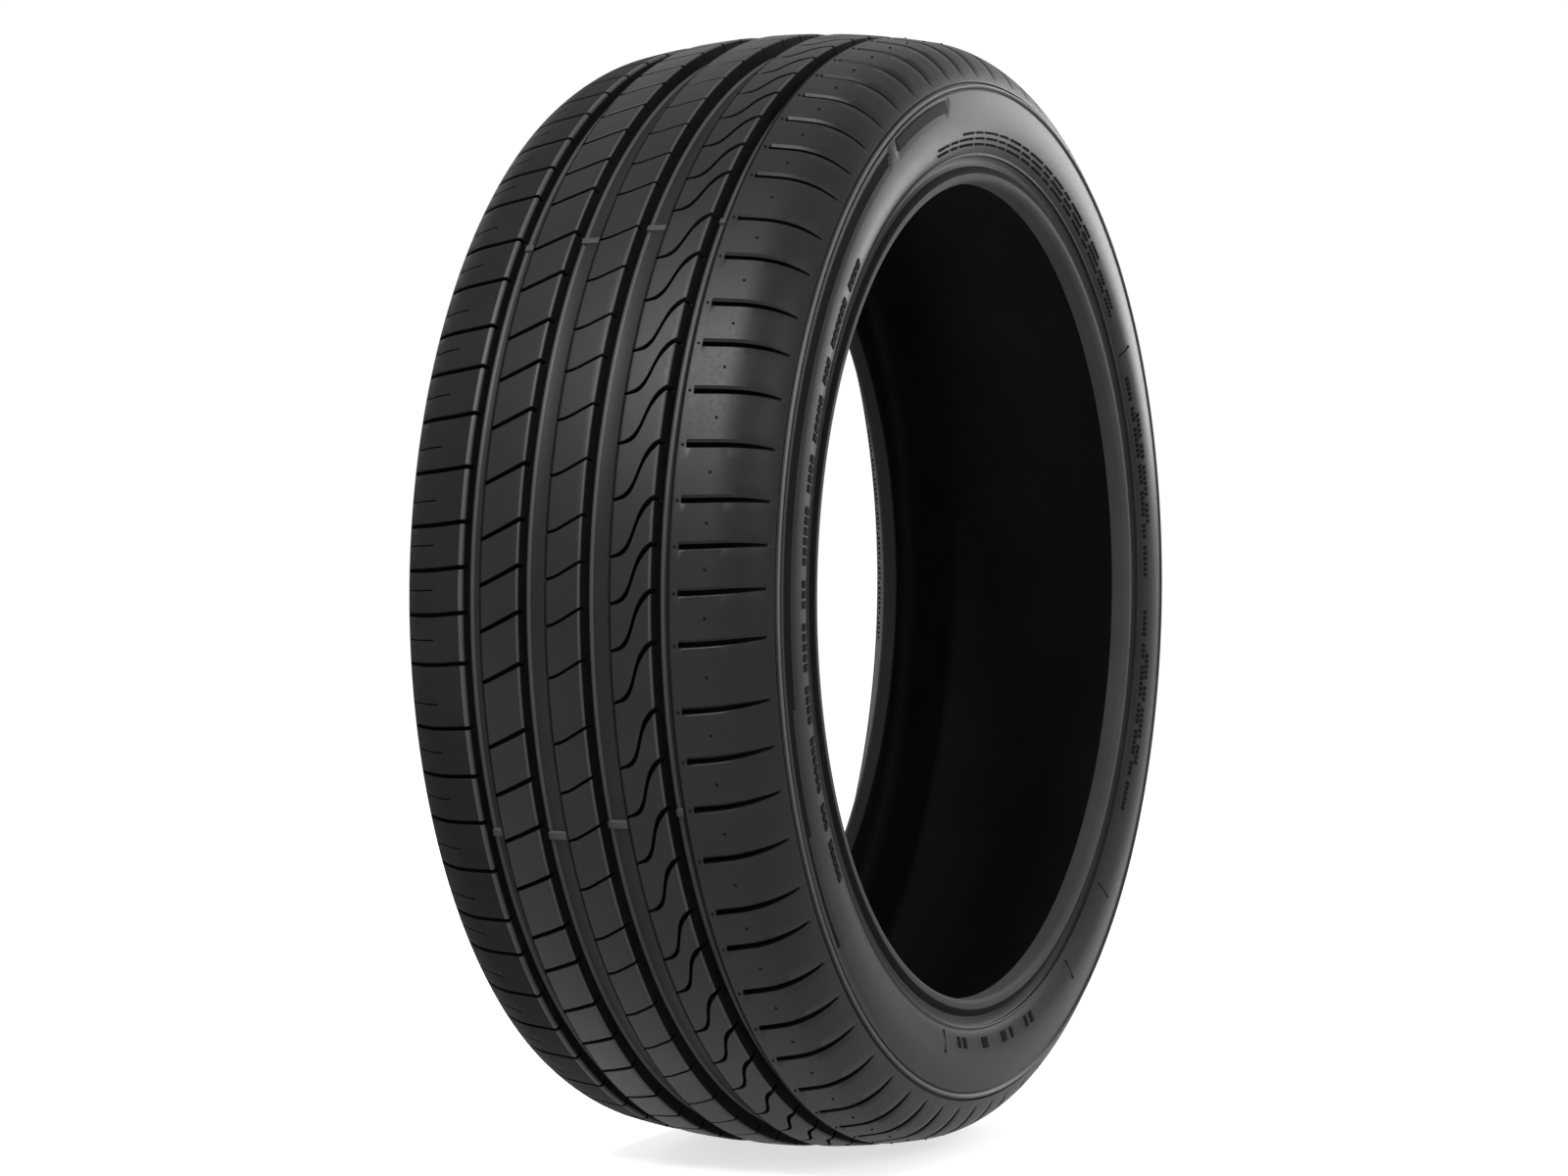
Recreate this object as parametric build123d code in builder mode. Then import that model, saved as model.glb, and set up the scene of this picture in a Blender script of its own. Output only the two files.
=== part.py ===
from build123d import *
from math import degrees, radians, sqrt, tan
import os

# Low-profile radial car tyre, off its rim. It spins about the Y axis, +Z is up, and the origin lies on the axis
# in the middle plane of the tread. The near sidewall faces -Y. The far one faces +Y, leaves a squarer shoulder
# and leans in to its bead. The front of the tread faces -X. Lengths are in millimetres and angles in degrees.

# Overall sizes
outer_diameter = 637.0
section_width = 222.0
bead_diameter = 461.0

# Crown, shoulders and walls
crown_width = 156.0
crown_drop = 7.6
near_shoulder_place = 106.5
near_shoulder_height = 31.0
far_shoulder_place = 99.0
far_shoulder_height = 18.0
widest_diameter = 537.0
rim_line_diameter = 502.0
rim_line_stand = 3.5
far_wall_top_lean = 12.0
far_wall_foot_lean = 42.0
tread_thickness = 19.0
liner_width = 160.0

# Beads
near_bead_place = 106.0
far_bead_place = 62.0
bead_width = 11.0
heel_size = 5.0

# Grooves around the tread, from the near side to the far one
groove_depth = 8.0
groove_draft = 15.0
near_outer_groove_place = -55.0
near_outer_groove_width = 8.7
near_inner_groove_place = -20.0
near_inner_groove_width = 16.0
far_inner_groove_place = 16.0
far_inner_groove_width = 15.7
far_outer_groove_place = 53.0
far_outer_groove_width = 11.0

# Slits across the near shoulder, with floors that fall away towards the sidewall
slit_depth = 5.5
slit_width = 2.6
slit_fall = 10.5
slit_reach = 101.0
slit_gap = 6.0

# Pitch sequence of the slits: the letters stand for lengths, from short to long, in equal steps
pitch_lengths = {"A": 9, "B": 10, "C": 11, "D": 12, "E": 13}
pitch_order = "BBBBBADBCABCCAABEBBCDADCCEDC"
pitch_count = 72
first_slit_angle = 73.1

# Straight runs that each curve of the section is parted into
shoulder_run_count = 2
far_wall_run_count = 4

# Derived sizes
overlap = 2.0
outer_radius = outer_diameter / 2
bead_radius = bead_diameter / 2
near_shoulder_radius = outer_radius - near_shoulder_height
far_shoulder_radius = outer_radius - far_shoulder_height
widest_radius = widest_diameter / 2
rim_line_radius = rim_line_diameter / 2
liner_radius = outer_radius - tread_thickness
crown_radius = ((crown_width / 2) ** 2 + crown_drop**2) / (2 * crown_drop)
slit_arc = degrees(slit_width / outer_radius)


def crown_at(place):
    """Radius of the tread surface at an axial place."""
    return outer_radius - crown_radius + sqrt(crown_radius**2 - place**2)


def groove_points(place, width, near_top, far_top):
    """Section of one drafted groove, as (radius, axial place), between ribs with their own top radii."""
    floor = crown_at(place) - groove_depth
    half_floor = width / 2 - groove_depth * tan(radians(groove_draft))
    return [
        (near_top, place - width / 2),
        (floor, place - half_floor),
        (floor, place + half_floor),
        (far_top, place + width / 2),
    ]


def runs(curve, count):
    """Points that part a curve into so many straight runs."""
    return [curve @ (i / count) for i in range(count + 1)]


def slit_angles():
    """Angles of the slits around the tyre, up from the front of the tread."""
    lengths = [pitch_lengths[pitch_order[i % len(pitch_order)]] for i in range(pitch_count)]
    starts = [sum(lengths[:i]) for i in range(pitch_count)]
    return [first_slit_angle - 360 * start / sum(lengths) for start in starts]


# Places in the section, as (radius, axial place)
near_crown = (crown_at(crown_width / 2), -crown_width / 2)
far_crown = (crown_at(crown_width / 2), crown_width / 2)
near_shoulder = (near_shoulder_radius, -near_shoulder_place)
far_shoulder = (far_shoulder_radius, far_shoulder_place)
near_widest = (widest_radius, -section_width / 2)
near_rim_line = (rim_line_radius, -near_bead_place - rim_line_stand)
far_rim_line = (rim_line_radius, far_bead_place + rim_line_stand)
near_heel_side = (bead_radius + heel_size, -near_bead_place)
far_heel_side = (bead_radius + heel_size, far_bead_place)
near_heel_base = (bead_radius, -near_bead_place + heel_size)
far_heel_base = (bead_radius, far_bead_place - heel_size)
near_toe = (bead_radius, -near_bead_place + bead_width)
far_toe = (bead_radius, far_bead_place - bead_width)
near_flank = (near_shoulder_radius, near_toe[1])
near_liner = (liner_radius, -liner_width / 2)
far_liner = (liner_radius, liner_width / 2)

# Groove edges and the flat tops of the three ribs between the grooves
near_tread_edge = crown_at(near_outer_groove_place - near_outer_groove_width / 2)
far_tread_edge = crown_at(far_outer_groove_place + far_outer_groove_width / 2)
near_rib_top = crown_at((near_outer_groove_place + near_inner_groove_place) / 2)
middle_rib_top = crown_at((near_inner_groove_place + far_inner_groove_place) / 2)
far_rib_top = crown_at((far_inner_groove_place + far_outer_groove_place) / 2)

# One slit of the near shoulder, at the front of the tyre
slit_start = near_outer_groove_place - near_outer_groove_width / 2 - slit_gap
slit_floor = crown_at(slit_start) - slit_depth
with BuildPart() as slit:
    with BuildSketch(Plane.XY.rotated((0, -slit_arc / 2, 0))):
        with BuildLine():
            Polyline(
                (-slit_floor, slit_start),
                (-slit_floor + slit_fall, -slit_reach),
                (-outer_radius - overlap, -slit_reach),
                (-outer_radius - overlap, slit_start),
                close=True,
            )
        make_face()
    revolve(axis=Axis.Y, revolution_arc=slit_arc)

# The casing: one moulded section turned about the axis, with a slit cut at every pitch
with BuildPart() as tyre:
    with BuildSketch():
        with BuildLine():
            crown = ThreePointArc(near_crown, (outer_radius, 0), far_crown, mode=Mode.PRIVATE)
            near_round = TangentArc(near_crown, near_shoulder, tangent=(crown % 0) * -1, mode=Mode.PRIVATE)
            far_round = TangentArc(far_crown, far_shoulder, tangent=crown % 1, mode=Mode.PRIVATE)
            far_leans = [(-1, -tan(radians(lean))) for lean in (far_wall_top_lean, far_wall_foot_lean)]
            far_wall = Spline(far_shoulder, far_rim_line, tangents=far_leans, mode=Mode.PRIVATE)
            Polyline(
                near_toe,
                near_heel_base,
                near_heel_side,
                near_rim_line,
                near_widest,
                *runs(near_round, shoulder_run_count)[::-1],
                *groove_points(near_outer_groove_place, near_outer_groove_width, near_tread_edge, near_rib_top),
                *groove_points(near_inner_groove_place, near_inner_groove_width, near_rib_top, middle_rib_top),
                *groove_points(far_inner_groove_place, far_inner_groove_width, middle_rib_top, far_rib_top),
                *groove_points(far_outer_groove_place, far_outer_groove_width, far_rib_top, far_tread_edge),
                *runs(far_round, shoulder_run_count),
                *runs(far_wall, far_wall_run_count)[1:],
                far_heel_side,
                far_heel_base,
                far_toe,
                far_liner,
                near_liner,
                near_flank,
                close=True,
            )
        make_face()
    revolve(axis=Axis.Y)
    with Locations(*[Location((0, 0, 0), (0, angle, 0)) for angle in slit_angles()]):
        add(slit.part, mode=Mode.SUBTRACT)

os.makedirs("parts", exist_ok=True)
tyre.part.label = "tyre"
export_step(tyre.part, "parts/tyre.step")
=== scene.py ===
import math

import bpy
import numpy as np
from mathutils import Matrix, Vector


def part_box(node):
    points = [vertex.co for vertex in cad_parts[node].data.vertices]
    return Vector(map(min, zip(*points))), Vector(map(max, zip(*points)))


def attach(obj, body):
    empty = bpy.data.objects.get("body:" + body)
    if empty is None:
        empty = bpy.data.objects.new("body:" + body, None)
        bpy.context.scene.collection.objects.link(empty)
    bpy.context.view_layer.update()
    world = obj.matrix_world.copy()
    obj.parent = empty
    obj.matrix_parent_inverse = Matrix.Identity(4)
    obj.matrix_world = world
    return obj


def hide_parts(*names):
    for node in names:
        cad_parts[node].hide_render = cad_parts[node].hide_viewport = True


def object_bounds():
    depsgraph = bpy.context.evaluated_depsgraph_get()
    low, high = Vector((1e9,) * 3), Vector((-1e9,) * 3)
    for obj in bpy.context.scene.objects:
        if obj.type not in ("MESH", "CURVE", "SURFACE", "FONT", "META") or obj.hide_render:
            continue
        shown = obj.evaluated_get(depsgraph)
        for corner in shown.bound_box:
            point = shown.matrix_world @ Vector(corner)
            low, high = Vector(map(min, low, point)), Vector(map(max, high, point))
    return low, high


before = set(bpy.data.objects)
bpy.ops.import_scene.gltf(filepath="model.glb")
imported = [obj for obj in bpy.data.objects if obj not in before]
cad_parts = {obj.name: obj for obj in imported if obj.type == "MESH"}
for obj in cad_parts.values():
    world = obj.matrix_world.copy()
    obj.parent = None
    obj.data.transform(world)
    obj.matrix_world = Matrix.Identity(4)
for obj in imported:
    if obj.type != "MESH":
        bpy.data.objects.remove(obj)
cad_low, cad_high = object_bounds()
tyre_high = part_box("tyre")[1]

# Sizes are in millimetres, as in the part's source. A section point is (axial place, radius), and axial
# places count from the middle of the tread, towards the near sidewall as positive. Angles count up from the
# front of the tread, which faces -X.
MM = 0.001
FULL_TURN = 2 * math.pi

# Crown and shoulders
OUTER_RADIUS = tyre_high.z / MM
CROWN_HALF = 78.0
CROWN_DROP = 7.6
CROWN_RADIUS = (CROWN_HALF**2 + CROWN_DROP**2) / (2 * CROWN_DROP)
NEAR_SHOULDER = (106.5, 287.5)
FAR_SHOULDER = (99.0, 300.5)
NEAR_TREAD_END = 106.4
FAR_TREAD_END = 95.4

# Ring grooves, from the far side to the near one: middle and width
GROOVE_DEPTH = 8.0
GROOVE_DRAFT = math.radians(15.0)
GROOVE_SIDE = math.tan(GROOVE_DRAFT)
GROOVES = [(-53.0, 11.0), (-16.0, 15.7), (20.0, 16.0), (55.0, 8.7)]

# Rib edges, as (across, down): at each groove, in the same order, the rib on its far side has a round, and
# the one on its near side a bevel. The floors have rounded sides.
RIB_ROUNDS = [(1.9, 1.7), (0.8, 0.9), (0.8, 0.9), (0.8, 0.9)]
RIB_BEVEL = (1.8, 1.0)
FLOOR_ROUND = 1.7
EDGE_POINTS = 4

# Columns over the rib tops, as the way along the tread from its middle, closer where a slit bends or ends.
# Past the start of the shoulders they are evenly spaced.
FAR_RIB_TOP = [-77.6, -77.0, -72.0, -66.0, -62.0]
SECOND_RIB_TOP = [-45.2, -42.0, -38.0, -34.0, -30.0, -26.5]
MIDDLE_RIB_TOP = [-5.0, -2.0, 1.5, 5.0, 8.5]
FOURTH_RIB_TOP = [31.0, 32.0, 34.0, 36.0, 37.5, 39.0, 40.0, 41.0, 42.0, 43.0, 44.0, 45.0, 46.5, 48.0]
NEAR_RIB_TOP = [62.5, 65.2, 65.8, 69.0, 73.0, 77.0]
SHOULDER_START = 80.0
FAR_SHOULDER_COLUMNS = 12
NEAR_SHOULDER_COLUMNS = 18

# Steps that the block between two slits is parted into
BLOCK_STEPS = 4
FAR_BLOCK_STEPS = 3

# Rows along a slit, as shares of its half width: the end of its floor, its edge, and past the edge the outer
# end of its chamfer. The drop at the edge is a share of the slit's depth.
SLIT_FLOOR = 0.75
SLIT_EDGE = 1.0
PAST_EDGE = 1.25
CHAMFER_DROP = 0.06

# Pitches of the tread pattern: letters are lengths in equal steps, and arc lengths are at the pattern radius
PITCH_LENGTHS = {"A": 9, "B": 10, "C": 11, "D": 12, "E": 13}
PITCH_ORDER = "BBBBBADBCABCCAABEBBCDADCCEDC"
PITCH_COUNT = 72
FIRST_PITCH_ANGLE = math.radians(70.6)
PATTERN_RADIUS = 320.0

# Wear bars in the grooves, from the far one to the near one: their first angles, in degrees, and their count
# in each groove
WEAR_BAR_ANGLES = [-23.3, -23.1, -21.7, -20.5]
WEAR_BAR_COUNT = 6
WEAR_BAR_HEIGHT = 1.6
WEAR_BAR_LENGTH = 5.0
WEAR_BAR_SINK = 0.3

# Vent stubs of the near shoulder, as (way along the tread, share of the way from one slit to the next)
VENT_DOTS = [(63.2, 0.0), (79.0, 0.5)]
VENT_SIDES = 8
VENT_RADIUS = 1.0
VENT_RISE = 0.4
VENT_SINK = 0.3
VENT_TAPER = 0.7

# Beads and inner wall
BEAD_RADIUS = 230.5
NEAR_BEAD = 106.0
FAR_BEAD = 62.0
BEAD_WIDTH = 11.0
HEEL_POINTS = 9
TOE_SIZE = 0.8
LINER_RADIUS = 299.5
LINER_HALF = 80.0
LINER_ROUND = 18.0
LINER_ROUND_POINTS = 9
LINER_SIDE_POINTS = 12

# Section points of the sidewalls, from the bead up to the end of the tread, which is added to them
NEAR_WALL_POINTS = [
    (105.8, 234.0), (105.8, 237.0), (105.2, 239.0), (103.8, 241.0), (103.5, 243.0),
    (104.3, 245.0), (105.6, 247.0), (107.3, 250.0), (108.7, 254.0), (110.0, 260.0),
    (110.3, 266.0), (109.7, 273.0), (108.6, 279.0), (107.5, 284.0),
]
FAR_WALL_POINTS = [
    (-62.0, 235.5), (-62.6, 243.0), (-65.4, 251.0), (-71.9, 258.4), (-77.4, 265.7), (-81.2, 273.4),
    (-85.2, 281.7), (-89.4, 290.8), (-91.9, 296.0), (-93.5, 299.0), (-94.7, 301.0), (-95.4, 302.4),
]

# Thin raised or sunk rings on the walls, as (radius, half width, lift). The ridge of the near wall has a
# crest of lighter rubber, a painted highlight, with a half width of its own.
RIDGE = 284.5
CREST_HIGHLIGHT_HALF = 0.9
NEAR_WALL_RINGS = [(286.5, 0.6, -1.1), (RIDGE, 1.1, 1.2), (282.8, 0.6, -0.6), (246.9, 1.0, 1.4)]
FAR_WALL_RINGS = [
    (292.0, 1.0, -0.9), (289.6, 1.4, 0.8), (287.2, 0.8, -0.6), (251.5, 1.0, 1.0), (249.2, 0.9, -0.6),
]

# Columns of the walls: their spacing, and where they lie on a ring, as shares of its half width
WALL_SPACING = 2.0
RING_SHARES = np.array([-1, -0.7, -0.45, -0.2, 0, 0.2, 0.45, 0.7, 1])

# Below the first of these radii the near bead has dull rubber, and up to the second a ring of dark matt
# rubber lies round it, painted shade in the hollow there
BEAD_RING = 237.0
SHADE_RING = 241.0

# Sunk bands below the ridge of the near wall, one matt and one with fine ribs, as (middle angle, half angle).
# Their ends slant. The matt band is dark matt rubber in its upper part and painted shade in its long lower
# stretch, which narrows towards nothing from the first taper angle down to the second.
BAND_LOW = 272.5
BAND_HIGH = 281.4
BAND_RADIUS = (BAND_LOW + BAND_HIGH) / 2
BAND_DEPTH = 0.45
BAND_SLANT = math.radians(1.6)
BAND_EDGE = 0.7
MATT_AND_SHADE_BAND = (math.radians(-6.0), math.radians(64.0))
TAPER_START = math.radians(-8.0)
TAPER_END = math.radians(-72.0)
RIBBED_BAND = (math.radians(68.0), math.radians(8.0))
RIB_STEP = 1.5
RIB_LENGTH = 6.4
RIB_SPAN = 0.93

# Plain raised bars on the walls. A row has a radius, a first and last angle in degrees, and its bars' length
# and height. Bars stand in groups, with a gap after each bar, and after a group a further one, which is given
# in bar lengths.
BAR_RISE = 0.55
BAR_SINK = 0.4
BAR_INSET = 0.18
BAR_GAP = 1.0
BAR_GROUPS = [5, 3, 6, 4]
GROUP_GAP = 1.5
BAR_ROWS = [
    (252.2, 72, 137, 2.2, 1.5),
    (255.4, 72, 137, 2.2, 1.5),
    (258.6, 80, 128, 2.2, 1.5),
    (258.2, -34, 42, 4.2, 5.4),
    (253.6, 150, 176, 2.4, 2.8),
    (258.0, 156, 172, 2.4, 2.8),
    (253.6, 184, 212, 2.4, 2.8),
    (258.0, 190, 206, 2.4, 2.8),
]
FAR_BAR_ROWS = [
    (268.0, 12, 96, 4.2, 5.4),
    (265.0, 128, 188, 2.2, 1.6),
    (268.4, 128, 188, 2.2, 1.6),
    (268.0, 232, 262, 2.4, 2.8),
    (268.0, 300, 330, 3.0, 5.0),
]

# Broader blocks at the bottom, as (angle, length), and radial ticks, as (angle, height)
BLOCKS = [(281.2, 3.2), (279.3, 4.0), (272.6, 7.4), (266.2, 6.4), (263.6, 3.0), (258.4, 3.0), (256.6, 4.0)]
BLOCK_RADIUS = 255.0
BLOCK_HEIGHT = 6.2
TICKS = [(146, 12), (226, 13), (242, 13), (286, 13)]
TICK_RADIUS = 257.0
TICK_WIDTH = 1.3

# Points round the circumference
NEAR_WALL_STEPS = 1080
FAR_WALL_STEPS = 720
LINER_STEPS = 360

# Edges sharper than these angles stay crisp
SHARP_ANGLE = 32.0
WALL_SHARP_ANGLE = 28.0

# Numbers of the materials on the tread and on the near wall, and the depth from which the tread has the
# groove's material. The groove's material is darker rubber, painted shade, and the edge and crest materials
# are lighter rubber, painted highlight.
TREAD_SLOT, GROOVE_SHADE_SLOT, EDGE_HIGHLIGHT_SLOT, FAR_RIB_SLOT = range(4)
WALL_SLOT, MATT_AND_SHADE_SLOT, BEAD_SLOT, HIGHLIGHT_CREST_SLOT = range(4)
SHADE_DEPTH = 0.6

# Rubbers: dark and light tone, roughness, specular level, and height of the grain
RUBBERS = {
    "tread_rubber": ((0.0035, 0.0035, 0.0037), (0.005, 0.005, 0.0053), 0.47, 0.13, 0.06),
    "far_rib_rubber": ((0.0065, 0.0065, 0.0067), (0.0085, 0.0085, 0.0088), 0.65, 0.02, 0.06),
    # lighter rubber on the rib edge rounds, the groove floor rounds and the wear bars: painted highlight
    "edge_highlight_rubber": ((0.022, 0.022, 0.0225), (0.027, 0.027, 0.0275), 0.5, 0.13, 0.05),
    # darker rubber for deep faces, groove walls, bevels and vent stubs: painted shade
    "groove_shade_rubber": ((0.002, 0.002, 0.0022), (0.0035, 0.0035, 0.0038), 0.7, 0.03, 0.06),
    "wall_rubber": ((0.0155, 0.0155, 0.016), (0.0185, 0.0185, 0.019), 0.36, 0.045, 0.03),
    # dark matt rubber: the marks and the upper matt band, and painted shade in the band's lower stretch and
    # the hollow round the bead
    "matt_and_shade_rubber": ((0.004, 0.004, 0.0043), (0.006, 0.006, 0.0063), 0.7, 0.02, 0.05),
    "bead_rubber": ((0.034, 0.034, 0.0346), (0.042, 0.042, 0.0426), 0.6, 0.04, 0.03),
    # lightest rubber, on the ridge's crest: painted highlight
    "crest_highlight_rubber": ((0.046, 0.046, 0.0466), (0.054, 0.054, 0.0546), 0.4, 0.1, 0.02),
    "far_rubber": ((0.0135, 0.0135, 0.0139), (0.0155, 0.0155, 0.0159), 0.55, 0.02, 0.04),
    "liner_rubber": ((0.004, 0.004, 0.0042), (0.006, 0.006, 0.0063), 0.65, 0.05, 0.04),
}

# Noise of every rubber, as (scale, detail), the range that its values mostly keep to, and how far it changes
# the gloss and raises the grain
TINT_NOISE = (22.0, 6.0)
GLOSS_NOISE = (420.0, 5.0)
GRAIN_NOISE = (1400.0, 3.0)
NOISE_LOW = 0.3
NOISE_HIGH = 0.7
GLOSS_SPREAD = 0.03
GRAIN_STRENGTH = 0.5

# Camera of the photograph: its angles in degrees and its distance from the origin, its shift to the right and
# up, and its focal length in pixels of a frame 1600 wide
CAMERA_AZIMUTH = -65.0
CAMERA_ELEVATION = 1.1
CAMERA_DISTANCE = 2330.0
CAMERA_SIDE = -19.8
CAMERA_RISE = 1.1
FOCAL_PIXELS = 4112.0
FRAME_PIXELS = 1600.0
SENSOR_WIDTH = 36.0

# Studio: strength of the surround's light, and the floor, whose half size is in metres
WHITE = (1, 1, 1, 1)
AMBIENT = 0.6
FLOOR_HALF = 30.0
FLOOR_TONE = (0.55, 0.55, 0.55, 1)
FLOOR_ROUGHNESS = 0.9
FLOOR_GLOW = 0.68

# Square softboxes: name, place, the place that they point at, and length of a side, all in metres, and power
# in watts
LIGHTS = [
    ("key", (-1.88, 0.04, 1.68), (0, 0, 0.05), 0.9, 126.0),
    ("rim", (1.4, -0.46, 0.45), (0, -0.1, 0.1), 0.7, 11.5),
    ("fill", (-0.6, -2.5, 1.1), (0, -0.1, 0), 1.2, 30.0),
    ("back_fill", (1.2, 2.3, 0.7), (0, 0.1, 0), 1.2, 45.0),
]


def crown_at(place):
    """Radius of the tread surface at an axial place."""
    return OUTER_RADIUS - CROWN_RADIUS + np.sqrt(CROWN_RADIUS**2 - np.asarray(place) ** 2)


class Shoulder:
    """The round of one shoulder: an arc that leaves the crown smoothly and ends at a shoulder point."""

    def __init__(self, place, radius):
        crown_end = np.array([CROWN_HALF, float(crown_at(CROWN_HALF))])
        self.first_turn = math.asin(CROWN_HALF / CROWN_RADIUS)
        run = np.array([place, radius]) - crown_end
        inward = np.array([-math.sin(self.first_turn), -math.cos(self.first_turn)])
        self.radius = float(run @ run / (2 * run @ inward))
        self.centre = crown_end + self.radius * inward

    def reach(self, place):
        """Way along the tread, from its middle, to an axial place on the round."""
        turn = math.asin((place - self.centre[0]) / self.radius)
        return CROWN_HALF + self.radius * (turn - self.first_turn)

    def surface(self, reach):
        """Axial place, radius and outward turn of the tread surface on this side of its middle."""
        on_crown = np.minimum(reach, CROWN_HALF)
        past = np.maximum(reach - CROWN_HALF, 0)
        turn = np.arcsin(on_crown / CROWN_RADIUS) + past / self.radius
        place = np.where(past > 0, self.centre[0] + self.radius * np.sin(turn), on_crown)
        radius = np.where(past > 0, self.centre[1] + self.radius * np.cos(turn), crown_at(on_crown))
        return place, radius, turn


near_shoulder = Shoulder(*NEAR_SHOULDER)
far_shoulder = Shoulder(*FAR_SHOULDER)
NEAR_END = near_shoulder.reach(NEAR_TREAD_END)
FAR_END = -far_shoulder.reach(FAR_TREAD_END)


def surface(reach):
    """Axial place, radius and outward turn of the tread surface, where reach is positive on the near side."""
    reach = np.asarray(reach, float)
    near_place, near_radius, near_turn = near_shoulder.surface(np.abs(reach))
    far_place, far_radius, far_turn = far_shoulder.surface(np.abs(reach))
    near = reach >= 0
    place = np.where(near, near_place, -far_place)
    return place, np.where(near, near_radius, far_radius), np.where(near, near_turn, -far_turn)


def smooth(xs, ys):
    """A smooth curve through points, as a function of x."""
    xs = np.asarray(xs, float)
    ys = np.asarray(ys, float)
    slopes = np.gradient(ys, xs)

    def value(x):
        x = np.clip(x, xs[0], xs[-1])
        i = np.clip(np.searchsorted(xs, x) - 1, 0, len(xs) - 2)
        step = xs[i + 1] - xs[i]
        t = (x - xs[i]) / step
        rise = t * t * (3 - 2 * t)
        lead = t * (1 - t) ** 2 * slopes[i] * step
        trail = t * t * (1 - t) * slopes[i + 1] * step
        return ys[i] + (ys[i + 1] - ys[i]) * rise + lead - trail

    return value


def straight(xs, ys):
    """A curve of straight runs through points, as a function of x."""
    return lambda x: np.interp(x, xs, ys)


def corner(before, at, after, steps):
    """Points of a round corner between two points, drawn towards the one at the corner."""
    t = np.linspace(0, 1, steps)[:, None]
    return (1 - t) ** 2 * np.array(before) + 2 * t * (1 - t) * np.array(at) + t**2 * np.array(after)


def quad_means(values):
    """Mean of the four corners of each face of a grid that goes round the tyre."""
    after = np.roll(values, -1, axis=0)
    return (values[:, :-1] + values[:, 1:] + after[:, 1:] + after[:, :-1]) / 4


class Slit:
    """A cut across a rib in each pitch: its middle line, half width and depth over the axial place. A chamfer
    runs along both edges, but the upper one may have a lip instead, as (width, share of the depth)."""

    def __init__(self, line, half_width, depth, chamfer=0.35, lip=None):
        self.line = line
        self.half_width = half_width
        self.depth = depth
        self.chamfer = chamfer
        self.lip_width, self.lip_drop = lip or (chamfer, CHAMFER_DROP)

    def edge(self, pitch, share, places):
        """Angle of a line along the slit in one pitch. Past the edge it lies a chamfer or a lip away."""
        offset = np.clip(share, -SLIT_EDGE, SLIT_EDGE) * self.half_width(places)
        if share < -SLIT_EDGE:
            offset = offset - self.chamfer
        if share > SLIT_EDGE:
            offset = offset + self.lip_width
        return pitch + (self.line(places) + offset) / PATTERN_RADIUS


def pitch_angles():
    """Angles of the pitches, going down from the first one."""
    lengths = np.array([PITCH_LENGTHS[PITCH_ORDER[i % len(PITCH_ORDER)]] for i in range(PITCH_COUNT)])
    starts = np.concatenate([[0], np.cumsum(lengths)[:-1]])
    return FIRST_PITCH_ANGLE - FULL_TURN * starts / lengths.sum()


class Mesh:
    """Points and faces that become one Blender mesh."""

    def __init__(self):
        self.points = []
        self.faces = []
        self.slots = []
        self.count = 0

    def add_points(self, place, radius, angle):
        """Adds points given as axial place, radius and angle, and returns their numbers."""
        place, radius, angle = np.broadcast_arrays(place, radius, angle)
        x = -radius * np.cos(angle)
        z = radius * np.sin(angle)
        self.points.append(np.stack([x, -place, z], axis=-1).reshape(-1, 3) * MM)
        numbers = np.arange(self.count, self.count + place.size).reshape(place.shape)
        self.count += place.size
        return numbers

    def add_face(self, corners):
        """Adds one face, with the first material."""
        self.faces.append(tuple(int(i) for i in corners))
        self.slots.append(0)

    def add_grid(self, numbers, slots=None):
        """Joins a grid of points with faces. Rows run round the tyre, and columns follow the section from the
        far bead over the tread to the near one, or back along the inside."""
        after = np.roll(numbers, -1, axis=0)
        quads = np.stack([numbers[:, :-1], numbers[:, 1:], after[:, 1:], after[:, :-1]], axis=-1)
        self.faces += quads.reshape(-1, 4).tolist()
        if slots is None:
            slots = np.zeros(quads.shape[:2], int)
        self.slots += slots.astype(int).ravel().tolist()

    def add_zip(self, far_ring, far_angles, near_ring, near_angles):
        """Joins two rings of different counts with triangles."""
        far_order = np.argsort(far_angles % FULL_TURN)
        near_order = np.argsort(near_angles % FULL_TURN)
        far_sorted = far_angles[far_order] % FULL_TURN
        near_sorted = near_angles[near_order] % FULL_TURN
        i = 0
        k = 0
        while i < len(far_order) or k < len(near_order):
            far_next = far_sorted[i + 1] if i + 1 < len(far_order) else far_sorted[0] + FULL_TURN
            near_next = near_sorted[k + 1] if k + 1 < len(near_order) else near_sorted[0] + FULL_TURN
            far_here = int(far_ring[far_order[i % len(far_order)]])
            near_here = int(near_ring[near_order[k % len(near_order)]])
            if k >= len(near_order) or (i < len(far_order) and far_next <= near_next):
                i += 1
                self.add_face((far_here, near_here, far_ring[far_order[i % len(far_order)]]))
            else:
                k += 1
                self.add_face((far_here, near_here, near_ring[near_order[k % len(near_order)]]))

    def add_block(self, base, top):
        """Adds a raised block from two rings of points, each point given as (place, radius, angle)."""
        low = [int(self.add_points(*point)) for point in base]
        high = [int(self.add_points(*point)) for point in top]
        self.add_face(high)
        for i in range(len(low)):
            k = (i + 1) % len(low)
            self.add_face((low[i], low[k], high[k], high[i]))

    def build(self, name, *materials, sharp_angle=SHARP_ANGLE):
        """Makes the Blender object."""
        data = bpy.data.meshes.new(name)
        data.from_pydata(np.concatenate(self.points).tolist(), [], self.faces)
        for material in materials:
            data.materials.append(material)
        data.polygons.foreach_set("material_index", self.slots)
        data.validate()
        data.shade_smooth()
        data.set_sharp_from_angle(angle=math.radians(sharp_angle))
        piece = bpy.data.objects.new(name, data)
        bpy.context.scene.collection.objects.link(piece)
        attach(piece, "root")
        return piece


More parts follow.
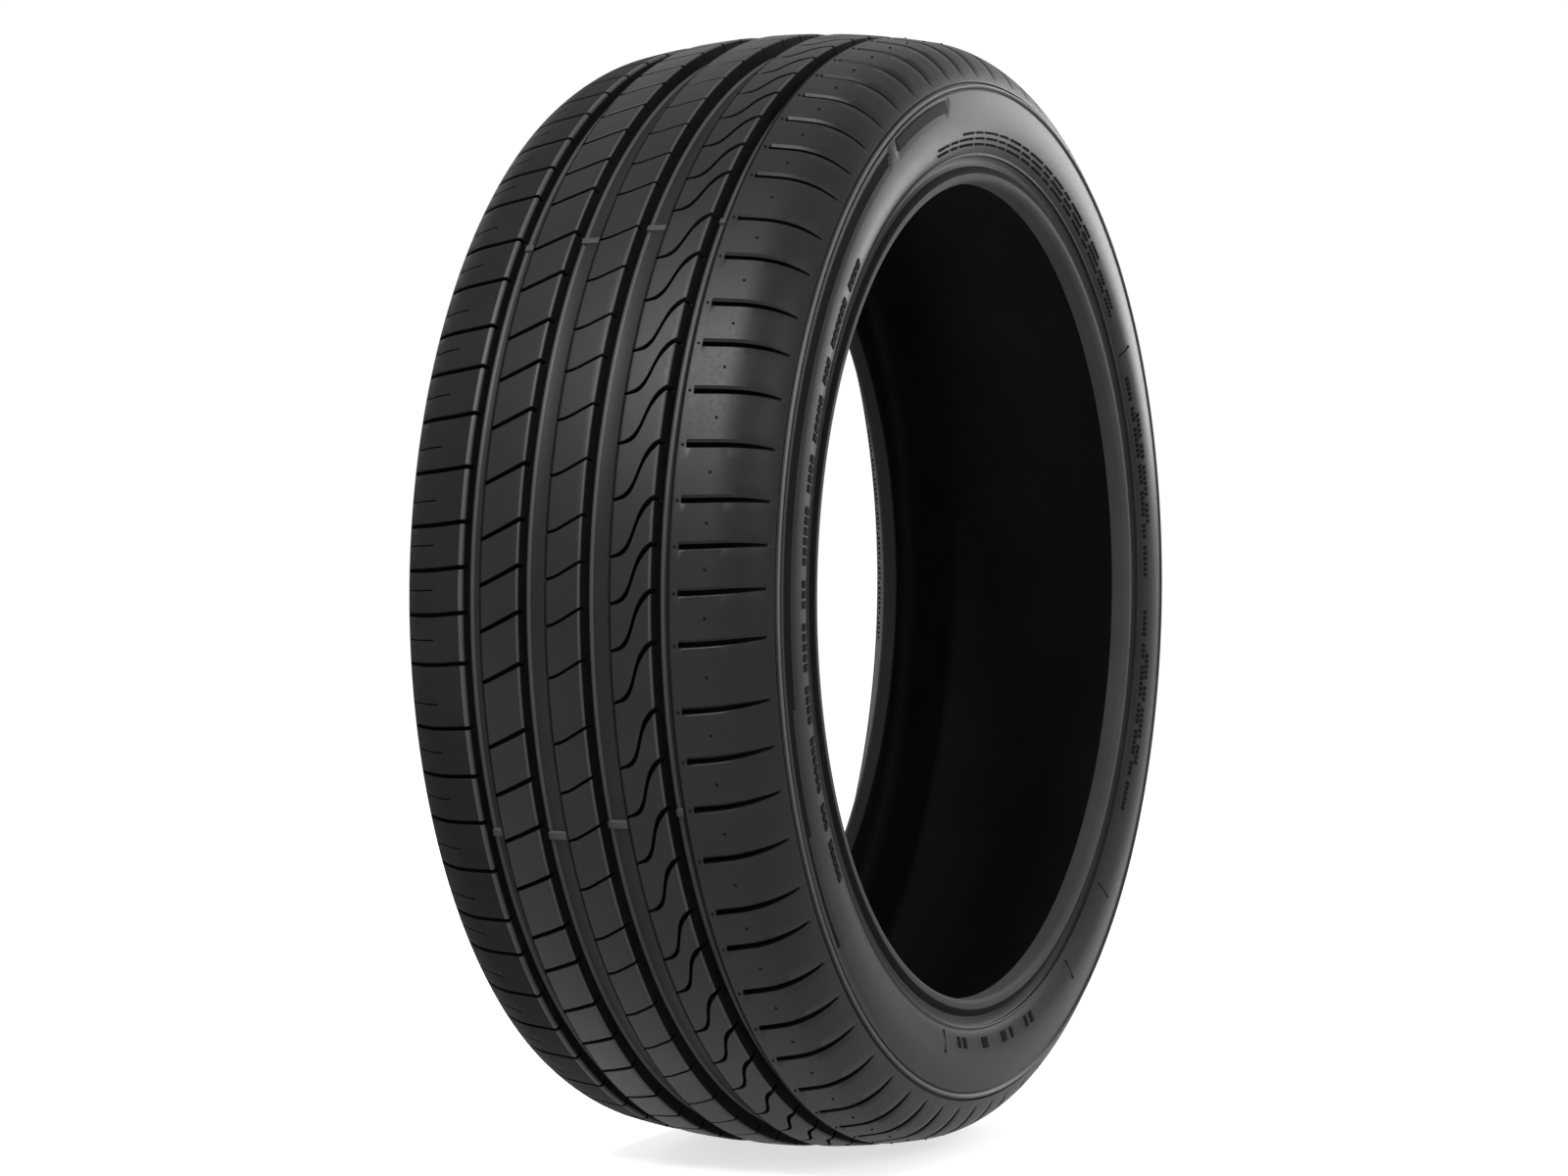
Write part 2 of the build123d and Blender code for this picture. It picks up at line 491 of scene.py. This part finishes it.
# Slits of the tread pattern. Their lines give the arc up from the pitch's own angle over the axial place.
far_slit = Slit(
    smooth([-98, -80, -58.5], [0.0, 0.2, 2.0]),
    straight([-98, -90, -58.5], [0.9, 1.2, 1.2]),
    straight([-96.8, -95.8, -90, -80, -58.5], [0.0, 1.6, 3.6, 5.0, 5.2]),
)
far_sipe = Slit(
    smooth([-98, -76], [13.2, 13.6]),
    straight([-98, -76], [0.3, 0.4]),
    straight([-95.0, -94.0, -78, -77.3], [0.0, 1.5, 2.0, 0.0]),
    chamfer=0.15,
)
second_rib_slit = Slit(
    smooth([-46.5, -36, -23.85], [-7.7, -3.0, 2.8]),
    straight([-46.5, -23.85], [1.2, 1.35]),
    straight([-46.2, -45.4, -23.85], [0.0, 4.5, 5.5]),
)
middle_rib_sipe = Slit(
    smooth([-8.15, -2.5, 5.0, 12.0], [-4.5, -3.0, 1.0, 5.0]),
    straight([-8.15, 12.0], [0.75, 0.85]),
    straight([-8.15, 12.0], [5.0, 5.0]),
    chamfer=0.25,
)
wave_slit = Slit(
    smooth([28.0, 31.75, 36, 39, 41, 43.5, 46, 50.65], [-16.9, -15.8, -13.5, -9, -3.2, 4.4, 9.2, 14.4]),
    straight([28.0, 33, 37, 41, 45, 50.65], [0.7, 0.9, 1.7, 2.8, 2.3, 1.5]),
    straight([28.0, 50.65], [5.5, 5.8]),
    chamfer=0.3,
)
near_slit = Slit(
    smooth([65, 82, 106], [13.1, 14.0, 16.2]),
    straight([65.3, 94, 106], [1.5, 1.4, 0.8]),
    straight([65.2, 65.8, 88, 95, 100, 103.4, 104.8], [0.0, 5.5, 5.0, 3.8, 2.6, 1.3, 0.0]),
    chamfer=0.5,
    lip=(1.5, 0.2),
)

# Kinds of columns in a rib's section: top and walls, bevel, floor at its foot, round, floor at its foot
PLAIN, BEVEL, BEVEL_FOOT, ROUND, ROUND_FOOT = range(5)


def groove_side(groove, side, edge_size):
    """Section of one side of a groove, from the rib's top down to the floor, as axial places and radii. The
    side is 1 where the groove lies to the near side of the rib, and -1 where it lies to the far side."""
    middle, width = groove
    across, down = edge_size
    edge = middle - side * width / 2
    top = np.array([edge, float(crown_at(edge))])
    wall = np.array([side * GROOVE_SIDE, -1.0])
    foot = top + wall * (top[1] - float(crown_at(middle)) + GROOVE_DEPTH)
    rib_end = edge - side * across
    upper = corner((rib_end, float(crown_at(rib_end))), top, top + wall * down, EDGE_POINTS)
    lower = corner(foot - wall * FLOOR_ROUND, foot, foot + (side * FLOOR_ROUND, 0.0), EDGE_POINTS)
    return np.vstack([upper, lower])


def rib_section(tops, far_side, near_side):
    """Columns over a rib's top, and down its walls where it has a groove beside it: their axial place,
    radius, outward turn, side and kind. The side is 0 on the top."""
    place, radius, turn = surface(tops)
    parts = [(place, radius, turn, np.zeros(len(tops)), np.full(len(tops), PLAIN))]
    for side, section, edge, foot in ((-1, far_side, BEVEL, BEVEL_FOOT), (1, near_side, ROUND, ROUND_FOOT)):
        if section is None:
            continue
        kinds = np.repeat([edge, PLAIN, foot], [EDGE_POINTS, 1, EDGE_POINTS - 1])
        zeros = np.zeros(len(section))
        part = (section[:, 0], section[:, 1], zeros, zeros + side, kinds)
        if side < 0:
            parts.insert(0, tuple(values[::-1] for values in part))
        else:
            parts.append(part)
    return [np.concatenate(values) for values in zip(*parts)]


def rib_rows(slits, steps):
    """For each row of points round the tyre: its pitch angle, its slit, its share of the slit's half width,
    its share of the slit's depth, and in a block the next pitch angle and slit, with the share of the way to
    it. A slit has six rows, and the block up to the next slit is parted into steps."""
    stations = [(angle, slit) for angle in pitch_angles()[::-1] for slit in slits]
    rows = []
    for i, (angle, slit) in enumerate(stations):
        next_angle, next_slit = stations[(i + 1) % len(stations)]
        if i + 1 == len(stations):
            next_angle = next_angle + FULL_TURN
        lower = ((-PAST_EDGE, 0.0), (-SLIT_EDGE, CHAMFER_DROP), (-SLIT_FLOOR, 1.0))
        upper = ((SLIT_FLOOR, 1.0), (SLIT_EDGE, slit.lip_drop), (PAST_EDGE, 0.0))
        for share, sunk in (*lower, *upper):
            rows.append((angle, slit, share, sunk, None))
        for k in range(1, steps):
            rows.append((angle, slit, PAST_EDGE, 0.0, (next_angle, next_slit, k / steps)))
    return rows


def rib_slots(kind, drop, cut, top_slot):
    """Materials of a rib's faces, from the kinds of its columns, their drop below the crown, and the depth of
    the cuts. Faces deeper than the shade depth, the groove walls and the bevels get the darker groove rubber,
    which is painted shade. The rounds of the rib edges and the floor rounds at their foot get the lighter
    edge rubber, which is painted highlight."""
    kind = np.where(kind[:-1] == kind[1:], kind[:-1], PLAIN)
    in_shade = (quad_means(cut) > SHADE_DEPTH) | (kind == PLAIN) & (quad_means(drop + cut) > SHADE_DEPTH)
    slots = np.where(in_shade, GROOVE_SHADE_SLOT, top_slot)
    slots = np.where((kind == ROUND) & ~in_shade, EDGE_HIGHLIGHT_SLOT, slots)
    slots = np.where(kind == BEVEL, GROOVE_SHADE_SLOT, slots)
    slots = np.where(kind == BEVEL_FOOT, TREAD_SLOT, slots)
    return np.where(kind == ROUND_FOOT, EDGE_HIGHLIGHT_SLOT, slots)


def add_rib(mesh, slits, section, steps=BLOCK_STEPS, top_slot=TREAD_SLOT):
    """One rib with its slits. Returns the numbers and angles of its far and near border rings."""
    place, radius, turn, side, kind = section
    drop = np.where(side != 0, crown_at(np.clip(place, -CROWN_HALF, CROWN_HALF)) - radius, 0.0)
    rows = rib_rows(slits, steps)
    angle = np.zeros((len(rows), len(place)))
    depth = np.zeros_like(angle)
    for i, (pitch, slit, share, sunk, ahead) in enumerate(rows):
        here = slit.edge(pitch, share, place)
        if ahead is not None:
            next_pitch, next_slit, t = ahead
            here = here + t * (next_slit.edge(next_pitch, -PAST_EDGE, place) - here)
        angle[i] = here
        depth[i] = sunk * slit.depth(place)
    cut = np.maximum(depth - drop, 0)
    along = np.where(side != 0, side * cut * GROOVE_SIDE, -cut * np.sin(turn))
    numbers = mesh.add_points(place + along, radius - cut * np.cos(turn), angle)
    mesh.add_grid(numbers, rib_slots(kind, drop, cut, top_slot))
    return (numbers[:, 0], angle[:, 0]), (numbers[:, -1], angle[:, -1])


def make_tread(material, groove_shade_material, edge_highlight_material, far_rib_material):
    """The five ribs, with the groove floors between them."""
    mesh = Mesh()
    far_top = np.append(np.linspace(FAR_END, -SHOULDER_START, FAR_SHOULDER_COLUMNS), FAR_RIB_TOP)
    near_top = np.append(NEAR_RIB_TOP, np.linspace(SHOULDER_START, NEAR_END, NEAR_SHOULDER_COLUMNS))
    rounds = [groove_side(groove, 1, size) for groove, size in zip(GROOVES, RIB_ROUNDS)]
    bevels = [groove_side(groove, -1, RIB_BEVEL) for groove in GROOVES]
    far_section = rib_section(far_top, None, rounds[0])
    ribs = [
        add_rib(mesh, [far_slit, far_sipe], far_section, FAR_BLOCK_STEPS, FAR_RIB_SLOT),
        add_rib(mesh, [second_rib_slit], rib_section(SECOND_RIB_TOP, bevels[0], rounds[1])),
        add_rib(mesh, [middle_rib_sipe], rib_section(MIDDLE_RIB_TOP, bevels[1], rounds[2])),
        add_rib(mesh, [wave_slit], rib_section(FOURTH_RIB_TOP, bevels[2], rounds[3])),
        add_rib(mesh, [near_slit], rib_section(near_top, bevels[3], None)),
    ]
    for far, near in zip(ribs, ribs[1:]):
        mesh.add_zip(*far[1], *near[0])
    return mesh.build("tread", material, groove_shade_material, edge_highlight_material, far_rib_material)


def make_wear_bars(material):
    """Low bars across the floors of the grooves, which show when the tread is worn down."""
    mesh = Mesh()
    for (middle, width), first in zip(GROOVES, WEAR_BAR_ANGLES):
        floor = float(crown_at(middle)) - GROOVE_DEPTH
        half = width / 2 - GROOVE_DEPTH * GROOVE_SIDE + WEAR_BAR_HEIGHT * GROOVE_SIDE
        for i in range(WEAR_BAR_COUNT):
            angle = math.radians(first) + i * FULL_TURN / WEAR_BAR_COUNT
            long = WEAR_BAR_LENGTH / 2 / floor
            short = long - WEAR_BAR_HEIGHT / 2 / floor
            corners = ((-1, -1), (1, -1), (1, 1), (-1, 1))
            base = [(middle + a * half, floor - WEAR_BAR_SINK, angle + b * long) for a, b in corners]
            top = [(middle + a * half, floor + WEAR_BAR_HEIGHT, angle + b * short) for a, b in corners]
            mesh.add_block(base, top)
    return mesh.build("wear_bars", material)


def vent_ring(reach, middle, lift, size):
    """One ring of a vent stub's points, at a height over the tread."""
    place, radius, turn = (float(x) for x in surface(reach))
    points = []
    for step in range(VENT_SIDES):
        around = -FULL_TURN * step / VENT_SIDES
        across = VENT_RADIUS * math.cos(around)
        along = VENT_RADIUS * math.sin(around) / radius
        points.append(
            (
                place + across * size * math.cos(turn) + lift * math.sin(turn),
                radius - across * size * math.sin(turn) + lift * math.cos(turn),
                middle + along * size,
            )
        )
    return points


def make_vent_dots(material):
    """Small stubs on the blocks of the near shoulder, left by the vents of the mould."""
    mesh = Mesh()
    angles = pitch_angles()
    for angle, next_angle in zip(angles, np.append(angles[1:], angles[0] - FULL_TURN)):
        for reach, share in VENT_DOTS:
            place = float(surface(reach)[0])
            middle = angle + (next_angle - angle) * share + float(near_slit.line(place)) / PATTERN_RADIUS
            base = vent_ring(reach, middle, -VENT_SINK, 1.0)
            top = vent_ring(reach, middle, VENT_RISE, VENT_TAPER)
            mesh.add_block(base, top)
    return mesh.build("vent_dots", material)


def hump(distance, half_width):
    """A smooth hump of height one, that ends at its half width."""
    share = np.clip(np.abs(distance) / half_width, 0, 1)
    return (1 - share**3) ** 2


class Wall:
    """One sidewall, on the side 1 or -1: a smooth curve from its bead up to the tread, with its rings."""

    def __init__(self, side, points, tread_end, rings):
        end_place, end_radius, _ = surface(tread_end)
        places, radii = zip(*points, (float(end_place), float(end_radius)))
        self.side = side
        self.curve = smooth(radii, places)
        self.low = radii[0]
        self.high = radii[-1]
        self.rings = rings

    def columns(self):
        """Radii of the columns from the bead up, closer together at the rings."""
        plain = np.linspace(self.low, self.high, int((self.high - self.low) / WALL_SPACING) + 1)
        fine = [radius + half * RING_SHARES for radius, half, lift in self.rings]
        apart = [x for x in plain if all(abs(x - radius) > half for radius, half, lift in self.rings)]
        both = np.unique(np.round(np.concatenate([apart, *fine]), 2))
        return both[(both >= self.low) & (both <= self.high)]

    def ring_lift(self, radius):
        """Height of the rings over the wall's own curve."""
        return sum(lift * hump(radius - middle, half) for middle, half, lift in self.rings)

    def point(self, radius, lift):
        """Axial place and radius of a point that stands off the wall's own curve."""
        step = 0.1
        slope = (self.curve(radius + step) - self.curve(radius - step)) / (2 * step)
        length = np.sqrt(1 + slope**2)
        return self.curve(radius) + lift * self.side / length, radius - lift * self.side * slope / length


# The near wall leaves the tread at a groove with a ridge beside it, and the far wall leans in to its bead
near_wall = Wall(1, NEAR_WALL_POINTS, NEAR_END, NEAR_WALL_RINGS)
far_wall = Wall(-1, FAR_WALL_POINTS, FAR_END, FAR_WALL_RINGS)


def band_share(radius, angle, band):
    """How far a place on the near wall lies in a sunk band, from 0 outside to 1 inside."""
    middle, half = band
    offset = angle - middle - BAND_SLANT * (radius - BAND_RADIUS) / (BAND_HIGH - BAND_LOW)
    offset = (offset + math.pi) % FULL_TURN - math.pi
    taper = np.clip((TAPER_START - middle - offset) / (TAPER_START - TAPER_END), 0, 1)
    inset = np.minimum(radius - BAND_LOW - taper * (BAND_HIGH - BAND_LOW), BAND_HIGH - radius)
    t = np.clip(np.minimum(inset, (half - np.abs(offset)) * BAND_RADIUS) / BAND_EDGE, 0, 1)
    return t * t * (3 - 2 * t)


def heel_section(bead, side, first_radius):
    """The heel's round, the bead base and the toe, from a radius on the wall inwards."""
    size = first_radius - BEAD_RADIUS
    turns = np.linspace(0, math.pi / 2, HEEL_POINTS)
    place = bead - size + size * np.cos(turns)
    radius = BEAD_RADIUS + size - size * np.sin(turns)
    toe = bead - BEAD_WIDTH
    place = np.append(place, [toe + TOE_SIZE, toe + TOE_SIZE / 4, toe])
    radius = np.append(radius, [BEAD_RADIUS, BEAD_RADIUS + TOE_SIZE / 4, BEAD_RADIUS + TOE_SIZE])
    return side * place, radius


def round_angles(steps):
    """Evenly spaced angles for one turn, one to a row."""
    return np.arange(steps)[:, None] * FULL_TURN / steps


def make_near_wall(material, matt_and_shade_material, bead_material, crest_highlight_material):
    """The near sidewall with its ridge, bands and bead."""
    mesh = Mesh()
    radius = near_wall.columns()[::-1]
    angle = round_angles(NEAR_WALL_STEPS)
    matt_and_shade_share = band_share(radius, angle, MATT_AND_SHADE_BAND)
    sunk = BAND_DEPTH * np.maximum(matt_and_shade_share, band_share(radius, angle, RIBBED_BAND))
    place, height = near_wall.point(radius, near_wall.ring_lift(radius) - sunk)
    heel_place, heel_radius = heel_section(float(place[0, -1]), 1, float(height[0, -1]))
    heel_place = np.broadcast_to(heel_place[1:], (NEAR_WALL_STEPS, len(heel_place) - 1))
    heel_radius = np.broadcast_to(heel_radius[1:], (NEAR_WALL_STEPS, len(heel_radius) - 1))
    numbers = mesh.add_points(np.hstack([place, heel_place]), np.hstack([height, heel_radius]), angle)
    # matt rubber on the band and the hollow round the bead; the hollow and the band's lower stretch are
    # painted shade
    wall_slots = np.where((matt_and_shade_share > 0.5) | (radius < SHADE_RING), MATT_AND_SHADE_SLOT, WALL_SLOT)
    wall_slots = np.where(radius < BEAD_RING, BEAD_SLOT, wall_slots)
    slots = np.hstack([wall_slots, np.full(heel_place.shape, BEAD_SLOT)])
    quad_slots = np.floor(quad_means(slots))
    # the ridge's crest gets the lighter crest rubber: painted highlight
    highlight_crest_faces = np.abs((radius[:-1] + radius[1:]) / 2 - RIDGE) < CREST_HIGHLIGHT_HALF
    quad_slots[:, : len(highlight_crest_faces)][:, highlight_crest_faces] = HIGHLIGHT_CREST_SLOT
    mesh.add_grid(numbers, quad_slots)
    materials = (material, matt_and_shade_material, bead_material, crest_highlight_material)
    return mesh.build("near_sidewall", *materials, sharp_angle=WALL_SHARP_ANGLE)


def make_far_wall(material):
    """The far sidewall, from its bead up to the tread."""
    mesh = Mesh()
    radius = far_wall.columns()
    place, height = far_wall.point(radius, far_wall.ring_lift(radius))
    heel_place, heel_radius = heel_section(FAR_BEAD, -1, far_wall.low)
    place = np.concatenate([heel_place[:0:-1], place])
    height = np.concatenate([heel_radius[:0:-1], height])
    numbers = mesh.add_points(place, height, round_angles(FAR_WALL_STEPS))
    mesh.add_grid(numbers)
    return mesh.build("far_sidewall", material, sharp_angle=WALL_SHARP_ANGLE)


def make_liner(material):
    """The inside of the tyre, from the near toe round to the far one."""
    near_toe = NEAR_BEAD - BEAD_WIDTH
    far_toe = -(FAR_BEAD - BEAD_WIDTH)
    low = BEAD_RADIUS + TOE_SIZE
    high = LINER_RADIUS - LINER_ROUND
    far_lean = (-LINER_HALF - far_toe) / (LINER_RADIUS - low)
    near_corner = corner(
        (near_toe, high),
        (near_toe, LINER_RADIUS),
        (near_toe - LINER_ROUND, LINER_RADIUS),
        LINER_ROUND_POINTS,
    )
    far_corner = corner(
        (-LINER_HALF + LINER_ROUND, LINER_RADIUS),
        (-LINER_HALF, LINER_RADIUS),
        (-LINER_HALF - far_lean * LINER_ROUND, high),
        LINER_ROUND_POINTS,
    )
    side_radius = np.linspace(low, high, LINER_SIDE_POINTS)
    near_side = np.column_stack([np.full(LINER_SIDE_POINTS, near_toe), side_radius])
    far_radius = np.linspace(high, low, LINER_SIDE_POINTS)
    far_side = np.column_stack([far_toe + far_lean * (far_radius - low), far_radius])
    section = np.vstack([near_side, near_corner[1:], far_corner, far_side[1:]])
    mesh = Mesh()
    numbers = mesh.add_points(section[:, 0], section[:, 1], round_angles(LINER_STEPS))
    mesh.add_grid(numbers)
    return mesh.build("inner_liner", material)


def add_bar(mesh, wall, radius, angle, length, height):
    """One plain bar on a wall, its length along the circumference."""

    def ring(half_length, half_height, lift):
        corners = ((-1, 1), (-1, -1), (1, -1), (1, 1))
        points = []
        for along, up in corners[:: wall.side]:
            place, high = wall.point(radius + up * half_height, lift)
            points.append((float(place), float(high), angle + along * half_length / radius))
        return points

    base = ring(length / 2, height / 2, -BAR_SINK)
    top = ring(length / 2 - BAR_INSET, height / 2 - BAR_INSET, BAR_RISE)
    mesh.add_block(base, top)


def add_bar_row(mesh, wall, radius, first, last, length, height):
    """One row of bars on a wall, in groups, between two angles in degrees."""
    angle = math.radians(first)
    group = 0
    while angle < math.radians(last):
        for i in range(BAR_GROUPS[group % len(BAR_GROUPS)]):
            add_bar(mesh, wall, radius, angle, length, height)
            angle += (length + BAR_GAP) / radius
        angle += GROUP_GAP * length / radius
        group += 1


def make_band_ribs(material):
    """Fine ribs in the ribbed band of the near wall."""
    mesh = Mesh()
    middle, half = RIBBED_BAND
    for share in np.linspace(-RIB_SPAN, RIB_SPAN, int(2 * half * BAND_RADIUS / RIB_STEP)):
        add_bar(mesh, near_wall, BAND_RADIUS, middle + share * half, RIB_STEP / 2, RIB_LENGTH)
    return mesh.build("band_ribs", material)


def make_marks(material):
    """Rows of plain bars on both walls, and blocks and radial ticks on the near wall."""
    mesh = Mesh()
    for row in BAR_ROWS:
        add_bar_row(mesh, near_wall, *row)
    for row in FAR_BAR_ROWS:
        add_bar_row(mesh, far_wall, *row)
    for degrees, length in BLOCKS:
        add_bar(mesh, near_wall, BLOCK_RADIUS, math.radians(degrees), length, BLOCK_HEIGHT)
    for degrees, height in TICKS:
        add_bar(mesh, near_wall, TICK_RADIUS, math.radians(degrees), TICK_WIDTH, height)
    return mesh.build("sidewall_marks", material)


def shader_parts(material):
    """Nodes, links and main shader of a new material."""
    material.use_nodes = True
    tree = material.node_tree
    return tree.nodes, tree.links, tree.nodes["Principled BSDF"]


def noise(nodes, links, coordinates, scale, detail):
    """A noise texture on the object's own coordinates."""
    texture = nodes.new("ShaderNodeTexNoise")
    texture.inputs["Scale"].default_value = scale
    texture.inputs["Detail"].default_value = detail
    links.new(coordinates.outputs["Object"], texture.inputs["Vector"])
    return texture.outputs["Fac"]


def spread(nodes, links, value, low, high):
    """Brings a noise value from its usual range into another one."""
    node = nodes.new("ShaderNodeMapRange")
    node.inputs["From Min"].default_value = NOISE_LOW
    node.inputs["From Max"].default_value = NOISE_HIGH
    node.inputs["To Min"].default_value = low
    node.inputs["To Max"].default_value = high
    links.new(value, node.inputs["Value"])
    return node.outputs["Result"]


def rubber(name):
    """Moulded rubber: near black, uneven in colour and gloss, with a fine grain."""
    dark, light, roughness, specular, grain = RUBBERS[name]
    material = bpy.data.materials.new(name)
    nodes, links, shader = shader_parts(material)
    coordinates = nodes.new("ShaderNodeTexCoord")
    tint = nodes.new("ShaderNodeMix")
    tint.data_type = "RGBA"
    tint.inputs["A"].default_value = (*dark, 1)
    tint.inputs["B"].default_value = (*light, 1)
    tint_noise = noise(nodes, links, coordinates, *TINT_NOISE)
    links.new(spread(nodes, links, tint_noise, 0.0, 1.0), tint.inputs["Factor"])
    links.new(tint.outputs["Result"], shader.inputs["Base Color"])
    gloss_noise = noise(nodes, links, coordinates, *GLOSS_NOISE)
    gloss = spread(nodes, links, gloss_noise, roughness - GLOSS_SPREAD, roughness + GLOSS_SPREAD)
    links.new(gloss, shader.inputs["Roughness"])
    shader.inputs["Specular IOR Level"].default_value = specular
    bump = nodes.new("ShaderNodeBump")
    bump.inputs["Strength"].default_value = GRAIN_STRENGTH
    bump.inputs["Distance"].default_value = grain * MM
    links.new(noise(nodes, links, coordinates, *GRAIN_NOISE), bump.inputs["Height"])
    links.new(bump.outputs["Normal"], shader.inputs["Normal"])
    return material


def add_light(name, place, target, side, power):
    """A square softbox that points at a target. Places are in metres."""
    data = bpy.data.lights.new(name, "AREA")
    data.shape = "SQUARE"
    data.size = side
    data.energy = power
    light = bpy.data.objects.new(name, data)
    light.location = place
    light.rotation_euler = (Vector(target) - Vector(place)).to_track_quat("-Z", "Y").to_euler()
    bpy.context.scene.collection.objects.link(light)


def make_camera():
    """The photograph's camera."""
    azimuth = math.radians(CAMERA_AZIMUTH)
    elevation = math.radians(CAMERA_ELEVATION)
    back = Vector(
        (
            math.sin(azimuth) * math.cos(elevation),
            -math.cos(azimuth) * math.cos(elevation),
            math.sin(elevation),
        )
    )
    right = Vector((0, 0, 1)).cross(back).normalized()
    up = back.cross(right)
    place = (back * CAMERA_DISTANCE + right * CAMERA_SIDE + up * CAMERA_RISE) * MM
    camera = bpy.data.objects.new("camera", bpy.data.cameras.new("camera"))
    bpy.context.scene.collection.objects.link(camera)
    camera.data.sensor_width = SENSOR_WIDTH
    camera.data.lens = FOCAL_PIXELS / FRAME_PIXELS * SENSOR_WIDTH
    camera.matrix_world = Matrix.Translation(place) @ Matrix((right, up, back)).transposed().to_4x4()
    bpy.context.scene.camera = camera


def seen_directly(nodes, links):
    """One for rays from the camera, mirrors and glass, and zero for rays that light things."""
    path = nodes.new("ShaderNodeLightPath")
    total = path.outputs["Is Camera Ray"]
    for name in ("Is Glossy Ray", "Is Transmission Ray"):
        larger = nodes.new("ShaderNodeMath")
        larger.operation = "MAXIMUM"
        links.new(total, larger.inputs[0])
        links.new(path.outputs[name], larger.inputs[1])
        total = larger.outputs["Value"]
    return total


def make_world():
    """A white surround that is seen directly, and a dimmer one that lights the tyre."""
    world = bpy.data.worlds.new("studio")
    bpy.context.scene.world = world
    world.use_nodes = True
    nodes = world.node_tree.nodes
    links = world.node_tree.links
    lighting = nodes["Background"]
    lighting.inputs["Color"].default_value = WHITE
    lighting.inputs["Strength"].default_value = AMBIENT
    seen = nodes.new("ShaderNodeBackground")
    seen.inputs["Color"].default_value = WHITE
    seen.inputs["Strength"].default_value = 1.0
    choice = nodes.new("ShaderNodeMixShader")
    links.new(seen_directly(nodes, links), choice.inputs["Fac"])
    links.new(lighting.outputs["Background"], choice.inputs[1])
    links.new(seen.outputs["Background"], choice.inputs[2])
    links.new(choice.outputs["Shader"], nodes["World Output"].inputs["Surface"])


def make_floor():
    """A pale floor that keeps the tyre's shadow and is white where it is lit."""
    level = cad_low.z
    data = bpy.data.meshes.new("floor")
    corners = [(x * FLOOR_HALF, y * FLOOR_HALF, level) for x, y in ((-1, -1), (1, -1), (1, 1), (-1, 1))]
    data.from_pydata(corners, [], [(0, 1, 2, 3)])
    floor = bpy.data.objects.new("floor", data)
    bpy.context.scene.collection.objects.link(floor)
    material = bpy.data.materials.new("floor")
    nodes, links, shader = shader_parts(material)
    shader.inputs["Base Color"].default_value = FLOOR_TONE
    shader.inputs["Roughness"].default_value = FLOOR_ROUGHNESS
    shader.inputs["Specular IOR Level"].default_value = 0.0
    glow = nodes.new("ShaderNodeEmission")
    glow.inputs["Strength"].default_value = FLOOR_GLOW
    both = nodes.new("ShaderNodeAddShader")
    choice = nodes.new("ShaderNodeMixShader")
    links.new(shader.outputs["BSDF"], both.inputs[0])
    links.new(glow.outputs["Emission"], both.inputs[1])
    links.new(seen_directly(nodes, links), choice.inputs["Fac"])
    links.new(shader.outputs["BSDF"], choice.inputs[1])
    links.new(both.outputs["Shader"], choice.inputs[2])
    links.new(choice.outputs["Shader"], nodes["Material Output"].inputs["Surface"])
    data.materials.append(material)


tread_rubber = rubber("tread_rubber")
far_rib_rubber = rubber("far_rib_rubber")
edge_highlight_rubber = rubber("edge_highlight_rubber")
groove_shade_rubber = rubber("groove_shade_rubber")
wall_rubber = rubber("wall_rubber")
matt_and_shade_rubber = rubber("matt_and_shade_rubber")
bead_rubber = rubber("bead_rubber")
crest_highlight_rubber = rubber("crest_highlight_rubber")
far_rubber = rubber("far_rubber")
liner_rubber = rubber("liner_rubber")

pieces = [
    make_tread(tread_rubber, groove_shade_rubber, edge_highlight_rubber, far_rib_rubber),
    # the wear bars have the lighter edge rubber: painted highlight
    make_wear_bars(edge_highlight_rubber),
    # the vent stubs have the darker groove rubber: painted shade
    make_vent_dots(groove_shade_rubber),
    make_near_wall(wall_rubber, matt_and_shade_rubber, bead_rubber, crest_highlight_rubber),
    make_band_ribs(wall_rubber),
    make_marks(matt_and_shade_rubber),
    make_far_wall(far_rubber),
    make_liner(liner_rubber),
]
for piece in pieces:
    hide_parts("tyre")
make_camera()
make_world()
make_floor()
for light in LIGHTS:
    add_light(*light)
bpy.context.scene.view_settings.view_transform = "Standard"
